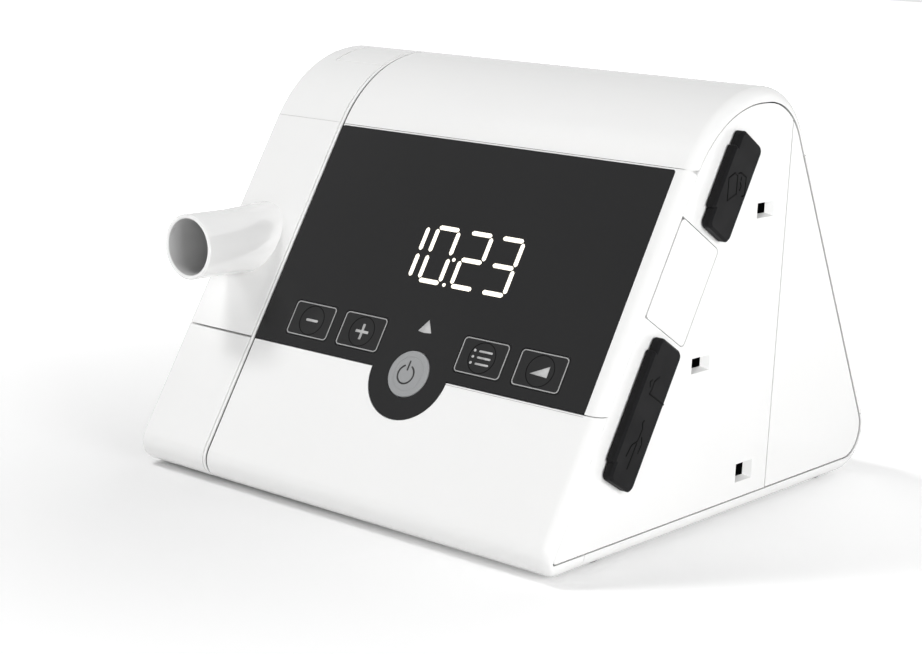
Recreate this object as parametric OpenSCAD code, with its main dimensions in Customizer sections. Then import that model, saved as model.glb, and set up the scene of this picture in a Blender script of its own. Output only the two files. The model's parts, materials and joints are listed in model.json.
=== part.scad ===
/* [Body] */
// Width of the body, without the port covers
body_w = 170; // [168:1:172]
// Height of the crest above the table
body_h = 135; // [134:0.5:136]
// Lean of the front slope
front_angle = 59.6; // [59.2:0.1:60]
// Lean of the back slope
back_angle = 61.2; // [60.8:0.1:61.6]
// From the foot of the front slope to the back slope, square to the back slope
back_reach = 171.1; // [170:0.1:172]
// Gap under the body, which the feet fill
foot_gap = 1.2; // [1:0.1:1.4]
// Wall of the moulded shells
wall = 2.5; // [2.4:0.1:2.6]
// Radius along the front foot
front_foot_r = 6.75; // [6.5:0.05:7]
// Radius of the crest's front half
crest_front_r = 45.7; // [45:0.1:46.2]
// Radius along the rear foot
rear_foot_r = 14; // [13:0.5:15]
// Gap between shells of the same body
seam = 0.3; // [0.25:0.05:0.35]

/* [Right end] */
// Thickness of the side panels
panel_t = 2.5; // [2.4:0.1:2.6]
// How far the rim's rounding reaches along the body
rim_round = 4.2; // [3.8:0.1:4.6]
// How far the thick rim reaches along the body
rim_depth = 6; // [5.8:0.1:6.4]
// Thickness of the rubber port covers
cover_t = 3.5; // [3.3:0.1:3.7]
// Swing of the port covers' hinge line out from the panel
cover_hinge_x = 0.5; // [0.4:0.1:0.6]

/* [Front] */
// Distance up the slope to the lower seam
low_seam_s = 52.3; // [52:0.1:52.6]
// Distance up the slope to the upper seam
high_seam_s = 130.5; // [130.2:0.1:130.8]
// Thickness of the display glass
glass_t = 2; // [1.9:0.1:2.1]
// Width of a rectangular key
key_w = 17.6; // [17.2:0.1:18]
// Height of a rectangular key
key_h = 11.7; // [11.4:0.1:12]
// Gap round a key
key_gap = 0.2; // [0.15:0.05:0.25]
// Travel of a key
key_travel = 0.5; // [0.4:0.1:0.5]
// Radius of the round power key
power_r = 7.5; // [7.3:0.1:7.7]
// Radius of the glass tongue round the power key
tongue_r = 14.8; // [14.5:0.1:15]

/* [Outlet module] */
// Width of the outlet module
module_w = 29.5; // [29:0.1:30]
// Gap between the outlet module and the main body
module_gap = 0.7; // [0.6:0.1:0.8]
// Width of the outlet module's lower seam
module_seam = 0.6; // [0.5:0.05:0.7]
// Width of the white band on the outlet module's inner end
band_w = 1.2; // [1:0.1:1.3]
// Outer radius of the outlet tube at its mouth
tube_r = 10.7; // [10.6:0.05:10.8]
// Outer radius of the outlet tube at its root
tube_root_r = 11.6; // [11.5:0.05:11.7]
// Bore radius of the outlet tube
tube_bore_r = 9.2; // [9.1:0.1:9.3]
// Height of the outlet tube's axis
tube_z = 73.7; // [73.4:0.1:74]
// Place of the tube's mouth behind the slope's foot
tube_mouth_y = 13.4; // [13:0.2:14]

/* [Blower] */
// Radius of the impeller
impeller_r = 26; // [25:0.5:26.5]
// Number of impeller blades
impeller_blades = 13; // [9:2:15]
// Radius of the blower's shaft
shaft_r = 2; // [1.8:0.1:2.2]
// Running clearance of the shaft, all round
shaft_fit = 0.05; // [0.03:0.01:0.08]

/* [Back] */
// Width of the filter door
door_w = 58; // [56:1:60]
// Height of the filter door, up the back slope
door_h = 40; // [38:1:41]
// Thickness of the filter door
door_t = 2; // [1.8:0.1:2.2]
// Radius of the filter door's hinge pins
door_pin_r = 1.2; // [1.1:0.05:1.3]

/* [Hidden] */
$fn = 48;
eps = 0.01;
far = 400;

// The body is drawn from the foot of its front slope: x = 0 is the right end, y runs
// back along the table and z is up. place() moves it over the middle of its footprint.
front_normal = 90 + front_angle;
back_normal = 90 - back_angle;
crest_y = (crest_front_r + (body_h - crest_front_r) * cos(front_angle)) / sin(front_angle);
crest_rear_r = (back_reach - sin(back_angle) * crest_y - cos(back_angle) * body_h)
    / (1 - cos(back_angle));
body_radii = [front_foot_r, crest_front_r, crest_rear_r, rear_foot_r];
// How far the side panel's edge lies inside the body: bottom, front, top, back
panel_inset = [4.8, 2.75, 4.6, 3.8];
panel_radii = [0.8, 40, 22, 9.4];
// Groove round the side panel: bottom, front, top, back
panel_groove = [0.45, 0.1, 0.3, 0.8];
panel_seam = 0.55;
module_right = -body_w + module_w;
band_gap = 0.2;
module_end = module_right + band_gap + band_w;
main_left = module_end + module_gap;
low_seam_z = low_seam_s * sin(front_angle);
high_seam_z = high_seam_s * sin(front_angle);
base_front_y = 22;
base_top_z = 20;
front_foot_y = corner_centre(front_foot_r, [270, -foot_gap], [front_normal, 0])[0];
rear_foot = corner_centre(rear_foot_r, [back_normal, back_reach], [270, -foot_gap]);
end_round = 1.8;
middle = [(cover_t - body_w) / 2,
    (front_foot_y - front_foot_r + rear_foot[0] + rear_foot_r) / 2];

// Display
glass_box = [[main_left, low_seam_s], [-6, 129.8]];
glass_bed = 2.2;
glass_fit = 0.15;
frame_back = 5;
power_pos = [-72, low_seam_s];
key_s = 62.1;
key_minus_x = -117.9;
key_plus_x = -96.3;
key_menu_x = -47.8;
key_ramp_x = -25.9;
key_xs = [key_minus_x, key_plus_x, key_menu_x, key_ramp_x];
key_cap_t = 1.6;
stem_r = 2.2;
board_t = 1.6;
display_board_depth = 9.5;
board_left = main_left + 6;
board_right = -12;
switch_half = 3;
switch_h = 1.3;
switch_button_r = 1.6;
switch_button_h = 1.9;
stem_end = display_board_depth - switch_button_h - key_travel - 0.1;
window_box = [[-112, 77], [-36, 108]];

// Right end: boxes in [distance up the slope, distance behind the slope]
card_cover_box = [[118.8, 12.3], [150.7, 25.6]];
port_cover_box = [[38, 9.7], [82.4, 22.8]];
cover_edge = 0.7;
cover_lip = 1;
card_lip_s = [124.6, 145];
port_lip_s = [43, 77.6];
bay_box = [[85.2, 3.2], [117, 26.8]];
card_window = [[123, 15], [147, 22.4]];
port_window = [[43.5, 12.6], [77, 19.8]];
window_fit = 0.5;
bead_r = 0.45;
bead_inset = 0.2;
panel_seam_y = [119.4, 120.8];
main_board_depth = 20.5;
socket_front = 3.2;
card_slot = [[124, 16.9], [146, 19.4]];
data_slots_s = [51.5, 67];
bay_cover_t = 1.6;
bay_gap = 0.25;
bay_corner_r = 1.6;
bay_ledge = 4;
bay_slot = [[96.5, 13.6], [105.5, 19.6]];
// Accessory latches: [y, z] corners of each mouth in the side panel, and its depth
latch_mouths = [[[102.9, 95], [112.6, 99.7]], [[71.7, 51], [81.4, 55.7]],
    [[101, 11.5], [110.5, 17.5]]];
latch_back_lean = 2;
latch_floor_rise = 1.2;
latch_slope_depth = 1.6;
latch_socket_t = 1.2;
latch_socket_depth = 6;

// Blower
blower = [-88, 104];
volute_r0 = 29;
volute_grow = 9.5;
volute_floor_z = 30;
volute_roof_z = 46;
blower_top_z = 48;
blower_wall = 2;
blower_stub = 36;
blower_stub_r = 7.9;
port = [76, 38];
motor_r = 15;
motor_z = [12, 26];
motor_neck_r = 4.9;
impeller_z = 31;
impeller_hub_r = 5.5;
impeller_hub_h = 11;
blade_h = 9;
plate_t = 1.2;
blade_t = 0.9;
blade_arc_r = 24;
eye_r = 14;
intake_r = 13;
mount_angles = [20, 150, 265];
mount_arm = 34;
mount_top_z = 24;
mount_h = mount_top_z - foot_gap - wall;
mount_bore_r = 2.5;
mount_neck_r = 4;
mount_rim_r = 5.5;
mount_rim_h = 2;
mount_pad_r = 6;
mount_pin_r = 2.4;
cover_screw_angles = [60, 190, 320];
cover_screw_reach = 26;
cover_screw_r = 1.2;

// Outlet module
tube_x = -156.8;
tube_cone_y = 31;
tube_root_y = 46;
tube_inner_y = 58;
tube_fit = 0.05;
tube_collar_r = 12;
tube_collar_y = 53.6;
spigot_r = 9;
spigot_fit = 0.08;
spigot_bore_r = 7.5;
spigot_end_x = -131;
duct_r = 9.9;
duct_bore_r = 8.4;
button_box = [[-162.3, 86.8], [module_right, 112]];
button_gap = 0.35;
button_t = 3;
button_floor_z = 125.5;
// Latch tongue under the button, and the slots it passes through
latch_x = -150;
latch_y = [94, 102];
latch_z = [124, 127];
latch_drop = 4;
latch_gap = 0.6;

// Back
door_x = -95;
door_u = 42;
door_gap = 0.4;
bay_depth = 14;
bay_wall = 3;
bay_back_t = 2;
slot_margin = 6;
bay_slot_w = 3;
filter_gap = 0.6;
bay_slot_pitch = 5;
louvre_w = 2.4;
louvre_pitch = 4.2;
louvre_margin = 9;
barrel_r = 1.6;
pin_length = 1.8;
pin_fit = 0.06;
socket_play = 0.4;
inlet_x = -28;
inlet_u = 18;
inlet_r = 5.5;
inlet_flange_r = 7.5;
inlet_bore_r = 3.2;
inlet_pin_r = 1;
inlet_depth = 14;

// Base
foot_places = [[-128, 34], [-12, 34], [-128, 162], [-12, 162]];
foot_r = 7;
foot_h = 2;
foot_fit = 0.15;
screw_places = [[-122, 48], [-16, 60], [-126, 148], [-16, 148]];
screw_head_r = 2.8;
screw_head_h = 0.9;
screw_r = 1.25;
screw_length = 12;
screw_hole_r = 1.6;
screw_sink_r = 3.4;
screw_sink_h = 2.4;
boss_r = 4;
boss_h = 14;
boss_bore_r = 1.3;
dish_r = 54.25;
dish_depth = 0.25;
standoff_places = [[-130, 56], [-130, 114], [-24, 52], [-24, 112]];
standoff_r = 2.8;
standoff_bore_r = 1.5;

function corner_centre(r, p, q) =
    let (turn = sin(q[0] - p[0]), a = p[1] - r, b = q[1] - r)
    [(a * sin(q[0]) - b * sin(p[0])) / turn, (b * cos(p[0]) - a * cos(q[0])) / turn];
function arc(c, r, from, to, steps) =
    [for (k = [0:steps]) let (a = from + (to - from) * k / steps) c + r * [cos(a), sin(a)]];
function distinct(p) =
    [for (k = [0:len(p) - 1]) if (norm(p[k] - p[(k + 1) % len(p)]) > eps) p[k]];
function outline(inset, r) =
    let (bottom = [270, -foot_gap - inset[0]],
        front = [front_normal, -inset[1]],
        top = [90, body_h - inset[2]],
        back = [back_normal, back_reach - inset[3]])
    distinct(concat(
        arc(corner_centre(r[0], bottom, front), r[0], 270, front_normal, 8),
        arc(corner_centre(r[1], front, top), r[1], front_normal, 90, 12),
        arc(corner_centre(r[2], top, back), r[2], 90, back_normal, 9),
        arc(corner_centre(r[3], back, bottom), r[3], back_normal, -90, 12)));
function inside(i) = outline([i, i, i, i], [for (r = body_radii) max(r - i, 0.6)]);
function toward_panel(k) =
    outline(k * panel_inset, body_radii + k * (panel_radii - body_radii));
function panel_edge(grow) =
    outline([for (i = panel_inset) i - grow], [for (r = panel_radii) r + grow]);
function round_rect(a, b, r) = concat(
    arc([b[0] - r, b[1] - r], r, 0, 90, 5), arc([a[0] + r, b[1] - r], r, 90, 180, 5),
    arc([a[0] + r, a[1] + r], r, 180, 270, 5), arc([b[0] - r, a[1] + r], r, 270, 360, 5));
function volute(grow, from) =
    [for (a = [0:9:351]) let (r = from + volute_grow * a / 351 + grow)
        [-r * sin(a), -r * cos(a)]];

module place() translate([-middle[0], -middle[1], 0]) children();
// Side views, drawn as [y, z], pushed along x
module across(x0, x1) translate([x0, 0, 0]) rotate([90, 0, 90]) linear_extrude(x1 - x0)
    children();
// Front views: x, distance up the slope, height over the slope
module on_front() rotate([front_angle, 0, 0]) children();
// Side views in the slope's directions: [distance up, distance behind], pushed along x
module along_front(x0, x1) on_front() translate([x0, 0, 0]) rotate([90, 0, 90])
    linear_extrude(x1 - x0) mirror([0, 1]) children();
// Back views: x runs to the left end, y up the back slope, z out of it
module on_back() translate([0, rear_foot[0] + rear_foot_r * cos(back_normal),
    rear_foot[1] + rear_foot_r * sin(back_normal)]) rotate([back_angle, 0, 180]) children();
module along_x(x0, x1, y, z, r) translate([x0, y, z]) rotate([0, 90, 0])
    cylinder(h = x1 - x0, r = r);
module along_y(y0, y1, x, z, r0, r1) translate([x, y0, z]) rotate([-90, 0, 0])
    cylinder(h = y1 - y0, r1 = r0, r2 = r1);
module slab(a, b) translate(a) cube(b - a);
module standing(p, z) translate([p[0], p[1], z]) children();

// Main body with its rounded right rim
module main_envelope() hull() {
    across(main_left, -rim_round) polygon(inside(0));
    for (a = [18:18:90]) across(-rim_round, -rim_round + rim_round * sin(a))
        polygon(toward_panel(1 - cos(a)));
}
module main_skin() difference() {
    main_envelope();
    across(main_left - 1, -rim_depth) polygon(inside(wall));
    across(-rim_depth - eps, -panel_t) polygon(inside(wall + 5));
    across(-panel_t - eps, 1) polygon(panel_edge(0));
}
module module_envelope() hull() {
    across(-body_w + end_round, module_right) polygon(inside(0));
    for (a = [30:30:90]) across(-body_w + end_round * (1 - sin(a)), -body_w + end_round)
        polygon(inside(end_round * (1 - cos(a))));
}
module module_skin() difference() {
    module_envelope();
    across(-body_w + wall, module_right + 1) polygon(inside(wall));
}
module region(points) across(-body_w - 1, 1) polygon(points);

module base_tray() place() color("white") {
    difference() {
        intersection() {
            main_skin();
            region([[base_front_y + seam, -1], [far, -1], [far, base_top_z], [60, base_top_z],
                [base_front_y + seam, 9]]);
        }
        for (p = foot_places) standing(p, 0) cylinder(h = foot_h + 0.1, r = foot_r + foot_fit);
        for (p = screw_places) standing(p, 0) {
            cylinder(h = boss_h, r = screw_hole_r);
            cylinder(h = screw_sink_h, r = screw_sink_r);
        }
    }
    for (p = screw_places) standing(p, foot_gap + wall - eps) difference() {
        cylinder(h = boss_h, r = boss_r);
        translate([0, 0, -1]) cylinder(h = boss_h + 2, r = boss_bore_r);
    }
    for (a = mount_angles) standing(mount_place(a), foot_gap + wall - eps)
        cylinder(h = mount_top_z, r = mount_pin_r);
}
function mount_place(a) = blower + mount_arm * [cos(a), sin(a)];

module tongue(r, depth, to) on_front() translate([power_pos[0], power_pos[1], -depth])
    cylinder(h = depth + to, r = r);
module glass_recess(from_s) on_front() slab([glass_box[0][0] - glass_fit, from_s, -glass_bed],
    [glass_box[1][0] + glass_fit, glass_box[1][1] + glass_fit, 2]);
module front_cover() place() color("white") difference() {
    intersection() {
        union() {
            main_skin();
            tongue(tongue_r + 3, frame_back, -wall + eps);
        }
        region([[-10, -1], [base_front_y, -1], [base_front_y, 9], [46, low_seam_z - 0.5],
            [46, low_seam_z - seam / 2], [-10, low_seam_z - seam / 2]]);
    }
    tongue(tongue_r + 0.2, glass_bed, 1);
    glass_recess(low_seam_s + seam / 2);
    tongue(stem_r + 1, frame_back + 1, 1);
}

module display_frame() place() color("white") difference() {
    intersection() {
        union() {
            main_skin();
            on_front() slab([main_left + wall + 0.2, low_seam_s - 3, -frame_back],
                [-rim_depth - 0.2, high_seam_s + 3, -wall + eps]);
        }
        region([[-10, low_seam_z + seam / 2], [100, low_seam_z + seam / 2],
            [100, high_seam_z - seam / 2], [-10, high_seam_z - seam / 2]]);
    }
    glass_recess(low_seam_s - 5);
    on_front() slab([window_box[0][0], window_box[0][1], -frame_back - 1],
        [window_box[1][0], window_box[1][1], 1]);
    for (x = key_xs) on_front() translate([x, key_s, -frame_back - 1])
        cylinder(h = frame_back, r = stem_r + 0.5);
    tongue(stem_r + 1, frame_back + 1, 1);
}

module glass_outline() difference() {
    union() {
        polygon(round_rect(glass_box[0] + [0, seam], glass_box[1], 0.8));
        translate(power_pos) circle(r = tongue_r);
    }
    for (x = key_xs) translate([x, key_s]) polygon(round_rect(
        -[key_w, key_h] / 2 - [key_gap, key_gap], [key_w, key_h] / 2 + [key_gap, key_gap], 1.4));
    translate(power_pos) circle(r = power_r + key_gap);
}
module display_glass() place() color("dimgray") on_front() translate([0, 0, -glass_t])
    linear_extrude(glass_t) glass_outline();

module key_cap(x) place() color("dimgray") on_front() translate([x, key_s, 0]) {
    difference() {
        translate([0, 0, -key_cap_t]) linear_extrude(key_cap_t)
            polygon(round_rect(-[key_w, key_h] / 2, [key_w, key_h] / 2, 1.2));
        translate([0, 0, dish_r - dish_depth]) sphere(r = dish_r);
    }
    translate([0, 0, -stem_end]) cylinder(h = stem_end - key_cap_t + eps, r = stem_r);
}
module key_minus() key_cap(key_minus_x);
module key_plus() key_cap(key_plus_x);
module key_menu() key_cap(key_menu_x);
module key_ramp() key_cap(key_ramp_x);
module key_power() place() color("gray") on_front()
    translate([power_pos[0], power_pos[1], -stem_end]) {
        cylinder(h = stem_end, r = stem_r);
        translate([0, 0, stem_end - key_cap_t]) cylinder(h = key_cap_t + 0.3, r = power_r);
    }

module top_cover() place() color("white") intersection() {
    main_skin();
    region([[0, high_seam_z + seam / 2], [far, high_seam_z + seam / 2], [far, body_h + 5],
        [0, body_h + 5]]);
}

// Box behind the filter door's outline, between two heights over the back slope
module door_block(grow, low, high) on_back() slab(
    [-door_x - door_w / 2 - grow, door_u - grow, low],
    [-door_x + door_w / 2 + grow, door_u + door_h + grow, high]);
module rear_cover() place() color("white") {
    difference() {
        union() {
            intersection() {
                main_skin();
                region([[100, base_top_z + seam], [far, base_top_z + seam],
                    [far, high_seam_z - seam / 2], [100, high_seam_z - seam / 2]]);
            }
            door_block(bay_wall, -bay_depth - bay_back_t, -wall + eps);
        }
        door_block(door_gap, -bay_depth, 1);
        for (k = [-5:5]) on_back() translate([-door_x + bay_slot_pitch * k, 0, 0])
            slab([-bay_slot_w / 2, door_u + slot_margin, -bay_depth - bay_back_t - 1],
                [bay_slot_w / 2, door_u + door_h - slot_margin, 1 - bay_depth]);
        on_back() translate([-inlet_x, inlet_u, -inlet_depth])
            cylinder(h = inlet_depth + 1, r = inlet_r + 0.1);
        on_back() door_barrel(door_w + 2 * (pin_length + socket_play), door_pin_r + pin_fit);
    }
}
// Rod along the door's lower edge, centred on its hinge line
module door_barrel(length, r) translate([-door_x - length / 2, door_u + barrel_r, -barrel_r])
    rotate([0, 90, 0]) cylinder(h = length, r = r);
module filter_door() place() color("white") on_back() difference() {
    union() {
        slab([-door_x - door_w / 2, door_u + barrel_r, -door_t],
            [-door_x + door_w / 2, door_u + door_h, 0]);
        door_barrel(door_w, barrel_r - eps);
        door_barrel(door_w + 2 * pin_length, door_pin_r);
    }
    for (k = [-6:6]) translate([-door_x + louvre_pitch * k, 0, 0])
        slab([-louvre_w / 2, door_u + louvre_margin, -door_t - 1],
            [louvre_w / 2, door_u + door_h - louvre_margin, 1]);
}
module filter_element() place() color("gainsboro") on_back()
    slab([-door_x - door_w / 2 + filter_gap, door_u + 2 * barrel_r + door_gap, -bay_depth + 0.2],
        [-door_x + door_w / 2 - filter_gap, door_u + door_h - filter_gap, -door_t - 2]);

module panel_plate() difference() {
    across(-panel_t, 0) polygon(outline(panel_inset + panel_groove, panel_radii));
    for (w = [card_window, port_window]) along_front(-panel_t - 1, 1)
        polygon(round_rect(w[0], w[1], 1));
    along_front(-bay_cover_t - bay_gap, 1) polygon(round_rect(bay_box[0] - [bay_gap, 2],
        bay_box[1] + [bay_gap, bay_gap], bay_corner_r + bay_gap));
    along_front(-panel_t - 1, 1) polygon(round_rect(bay_box[0] + [bay_ledge, bay_ledge + 1],
        bay_box[1] - [bay_ledge, bay_ledge], 1));
    for (m = latch_mouths) hull() {
        slab([-eps, m[0][0], m[0][1]], [1, m[1][0], m[1][1]]);
        slab([-panel_t - 1, m[0][0], m[0][1] + latch_floor_rise],
            [-latch_slope_depth, m[1][0] - latch_back_lean, m[1][1]]);
    }
}
// Open boxes behind the mouths, where an accessory's hooks catch
module latch_sockets() place() color("dimgray") for (m = latch_mouths)
    translate([-panel_t - 0.1, 0, 0]) difference() {
        slab([-latch_socket_depth, m[0][0] - latch_socket_t, m[0][1] - latch_socket_t],
            [0, m[1][0] + latch_socket_t, m[1][1] + latch_socket_t]);
        slab([latch_socket_t - latch_socket_depth, m[0][0], m[0][1]], [1, m[1][0], m[1][1]]);
    }
module panel_half(front) {
    shift = (front ? -1 : 1) * panel_seam / 2;
    end = front ? -50 : far;
    intersection() {
        panel_plate();
        region([[panel_seam_y[0] + shift, -1], [panel_seam_y[1] + shift, body_h + 5],
            [end, body_h + 5], [end, -1]]);
    }
}
module side_panel_front() place() color("white") panel_half(true);
module side_panel_rear() place() color("white") panel_half(false);

module bay_cover() place() color("white") along_front(-bay_cover_t, 0)
    polygon(round_rect(bay_box[0] + [0, bay_gap], bay_box[1], bay_corner_r));

// Rubber cover: a soft-edged block, a finger lip on its front edge, a plug behind it and
// a round bead along its rear edge, which it swings on
module soft_block(a, b, r) hull() {
    along_front(cover_hinge_x, cover_t - cover_edge) polygon(round_rect(a, b, r));
    along_front(cover_hinge_x, cover_t)
        polygon(round_rect(a + [cover_edge, cover_edge], b - [cover_edge, cover_edge], r - 0.4));
}
module rubber_cover(box, lip_s, window) place() color("black") {
    soft_block(box[0], box[1], 2);
    soft_block([lip_s[0], box[0][1] - cover_lip], [lip_s[1], box[0][1] + 3], 0.7);
    on_front() translate([cover_hinge_x, box[0][0] + 3, bead_inset - box[1][1]])
        rotate([-90, 0, 0]) cylinder(h = box[1][0] - box[0][0] - 6, r = bead_r);
    along_front(-panel_t + 0.3, cover_hinge_x + eps) polygon(round_rect(
        window[0] + [window_fit, window_fit], window[1] - [window_fit, window_fit], 1));
}
module card_cover() rubber_cover(card_cover_box, card_lip_s, card_window);
module port_cover() rubber_cover(port_cover_box, port_lip_s, port_window);

module left_bulkhead() place() color("gainsboro") difference() {
    union() {
        across(main_left, main_left + wall) polygon(inside(wall + 0.2));
        along_x(main_left, spigot_end_x + 1, port[0], port[1], spigot_r + 2);
    }
    along_x(main_left - 1, spigot_end_x + 2, port[0], port[1], spigot_r + spigot_fit);
    slab([main_left - 1, latch_y[0] - latch_gap, latch_z[0] - latch_drop],
        [main_left + wall + 1, latch_y[1] + latch_gap, latch_z[1] + 1]);
}

module rubber_feet() place() color("black") for (p = foot_places)
    standing(p, 0) cylinder(h = foot_h, r = foot_r);
module case_screws() place() color("silver") for (p = screw_places)
    standing(p, foot_gap + 0.3) {
        difference() {
            cylinder(h = screw_head_h, r = screw_head_r);
            translate([0, 0, -1]) cylinder(h = 1.6, r = 1, $fn = 6);
        }
        cylinder(h = screw_length, r = screw_r);
    }

module display_module() place() color("dimgray") on_front()
    slab([window_box[0][0] + 0.4, window_box[0][1] + 0.4, -display_board_depth],
        [window_box[1][0] - 0.4, window_box[1][1] - 0.4, -glass_bed - 0.1]);
module display_board() place() color("green") on_front()
    slab([board_left, 46, -display_board_depth - board_t], [-20.5, 117, -display_board_depth]);
module key_switches() place() color("silver") on_front()
    for (p = concat([for (x = key_xs) [x, key_s]], [power_pos]))
        translate([p[0], p[1], -display_board_depth]) {
            slab([-switch_half, -switch_half, 0], [switch_half, switch_half, switch_h]);
            cylinder(h = switch_button_h, r = switch_button_r);
        }
module main_board() place() color("green") on_front() difference() {
    slab([board_left, 42, -main_board_depth - board_t],
        [board_right, 147, -main_board_depth]);
    for (p = standoff_places) translate([p[0], p[1], -main_board_depth - board_t - 1])
        cylinder(h = board_t + 2, r = standoff_bore_r + 0.1);
}
module board_standoffs() place() color("gold") on_front() for (p = standoff_places)
    translate([p[0], p[1], -main_board_depth]) difference() {
        cylinder(h = main_board_depth - display_board_depth - board_t, r = standoff_r);
        translate([0, 0, -1]) cylinder(h = main_board_depth, r = standoff_bore_r);
    }
// Socket on the main board, open toward the right end
module socket_shell(slot, skin, length, r) difference() {
    along_front(-length - socket_front, -socket_front) polygon(round_rect(
        slot[0] - [skin, skin], [slot[1][0] + skin, main_board_depth], r + skin));
    along_front(skin - length - socket_front, 0) polygon(round_rect(slot[0], slot[1], r));
}
module card_socket() place() color("silver") socket_shell(card_slot, 0.8, 27, 0.3);
module data_sockets() place() color("silver") for (s = data_slots_s)
    socket_shell([[s - 3.8, 16.6], [s + 3.8, 19.4]], 0.7, 12, 0.6);
module bay_socket() place() color("dimgray") socket_shell(bay_slot, 1.2, 14, 0.3);
module power_inlet() place() color("black") on_back()
    translate([-inlet_x, inlet_u, -inlet_depth]) {
        difference() {
            union() {
                cylinder(h = inlet_depth, r = inlet_r);
                cylinder(h = inlet_depth - wall - 0.1, r = inlet_flange_r);
            }
            translate([0, 0, 4]) cylinder(h = inlet_depth, r = inlet_bore_r);
        }
        translate([0, 0, 3]) cylinder(h = inlet_depth - 5, r = inlet_pin_r);
    }

// Spiral housing of the blower, round the impeller, with its outlet to the left
module volute_shape(grow) polygon(volute(grow, volute_r0));
module at_blower(z) translate([blower[0], blower[1], z]) children();
module at_mounts(z) for (a = mount_angles)
    translate([mount_arm * cos(a), mount_arm * sin(a), z]) children();
module blower_base() place() color("gainsboro") at_blower(0) difference() {
    union() {
        translate([0, 0, volute_floor_z - blower_wall]) linear_extrude(blower_wall)
            volute_shape(blower_wall);
        translate([0, 0, motor_z[0] - blower_wall])
            cylinder(h = volute_floor_z - motor_z[0] + 1, r = motor_r + 2.5);
        at_mounts(mount_top_z) cylinder(h = volute_floor_z - mount_top_z - 1, r = mount_pad_r);
        for (a = mount_angles) rotate([0, 0, a]) translate([0, -3, mount_top_z + 0.5])
            cube([mount_arm, 6, volute_floor_z - mount_top_z - 2]);
    }
    translate([0, 0, motor_z[0]])
        cylinder(h = motor_z[1] - motor_z[0] + 1, r = motor_r + 0.1);
    translate([0, 0, motor_z[0]]) cylinder(h = volute_floor_z, r = motor_neck_r + 0.1);
    at_mounts(0) cylinder(h = volute_floor_z - 1.8, r = mount_bore_r + 0.1);
}
module blower_cover() place() color("gainsboro") at_blower(0) difference() {
    union() {
        translate([0, 0, volute_floor_z]) linear_extrude(blower_top_z - volute_floor_z)
            volute_shape(blower_wall);
        along_x(-blower_stub, 0, port[0] - blower[1], port[1], blower_stub_r);
        translate([0, 0, blower_top_z - eps]) cylinder(h = 3, r = intake_r + 2);
    }
    translate([0, 0, volute_floor_z - 1])
        linear_extrude(volute_roof_z - volute_floor_z + 1) volute_shape(0);
    along_x(-blower_stub - 1, 0, port[0] - blower[1], port[1], spigot_bore_r - 0.5);
    translate([0, 0, volute_roof_z - 1]) cylinder(h = 12, r = intake_r);
    for (a = cover_screw_angles) rotate(a) translate([cover_screw_reach, 0, volute_roof_z - 1])
        cylinder(h = 4, r = cover_screw_r + 0.1);
}
module blower_motor() place() color("silver") at_blower(motor_z[0]) difference() {
    union() {
        cylinder(h = motor_z[1] - motor_z[0], r = motor_r);
        cylinder(h = volute_floor_z - motor_z[0], r = motor_neck_r);
    }
    translate([0, 0, 2]) cylinder(h = volute_floor_z, r = shaft_r + shaft_fit);
}
module rotor_shaft() place() color("silver") at_blower(motor_z[0] + 2.3)
    cylinder(h = 27, r = shaft_r);
// Backward-curved blades between a back plate and a hub
module blade() intersection() {
    translate([14, -18]) difference() {
        circle(r = blade_arc_r);
        circle(r = blade_arc_r - blade_t);
    }
    difference() {
        circle(r = impeller_r - 0.3);
        circle(r = impeller_hub_r + 2.5);
    }
    square(2 * impeller_r);
}
module impeller() place() color("white") at_blower(impeller_z) difference() {
    union() {
        cylinder(h = plate_t, r = impeller_r);
        cylinder(h = impeller_hub_h, r = impeller_hub_r);
        translate([0, 0, plate_t - 0.2]) linear_extrude(blade_h)
            for (k = [0:impeller_blades - 1]) rotate(360 / impeller_blades * k) blade();
        translate([0, 0, plate_t + blade_h - 0.21]) difference() {
            cylinder(h = plate_t, r = impeller_r);
            translate([0, 0, -1]) cylinder(h = 4, r = eye_r);
        }
    }
    translate([0, 0, -1]) cylinder(h = 2 * impeller_hub_h, r = shaft_r);
}
module blower_mounts() place() color("black") for (a = mount_angles)
    standing(mount_place(a), foot_gap + wall) difference() {
        union() {
            cylinder(h = mount_h, r = mount_neck_r);
            for (z = [0, mount_h - mount_rim_h]) translate([0, 0, z])
                cylinder(h = mount_rim_h, r = mount_rim_r);
        }
        translate([0, 0, -1]) cylinder(h = mount_h + 2, r = mount_bore_r);
    }
module blower_screws() place() color("silver") at_blower(blower_top_z)
    for (a = cover_screw_angles) rotate(a) translate([cover_screw_reach, 0, 0]) {
        cylinder(h = 1.4, r = 2 * cover_screw_r);
        translate([0, 0, -1.9]) cylinder(h = 2, r = cover_screw_r);
    }
module outlet_bellows() place() color("dimgray")
    translate([spigot_end_x + 1, port[0], port[1]]) rotate([0, 90, 0]) rotate_extrude()
        polygon([[7.6, 0], [11, 0], [11, 1.2], [12.5, 1.8], [12.5, 2.6], [10.5, 3.4],
            [12.5, 4.2], [12.5, 5], [10, 5.8], [10, 6], [7.6, 6]]);

module intake_silencer() place() color("darkgray") difference() {
    across(-126, -50) polygon([[84, 52], [143.5, 52], [124.5, 86.6], [118, 96], [84, 96]]);
    at_blower(40) cylinder(h = 40, r = intake_r);
}
module pressure_sensor() place() color("black") on_front()
    translate([-60, 90, -main_board_depth - board_t]) {
        slab([-5, -4, -4], [5, 4, 0]);
        for (x = [-2.5, 2.5]) translate([x, 0, -8]) cylinder(h = 5, r = 1.2);
    }

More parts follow.
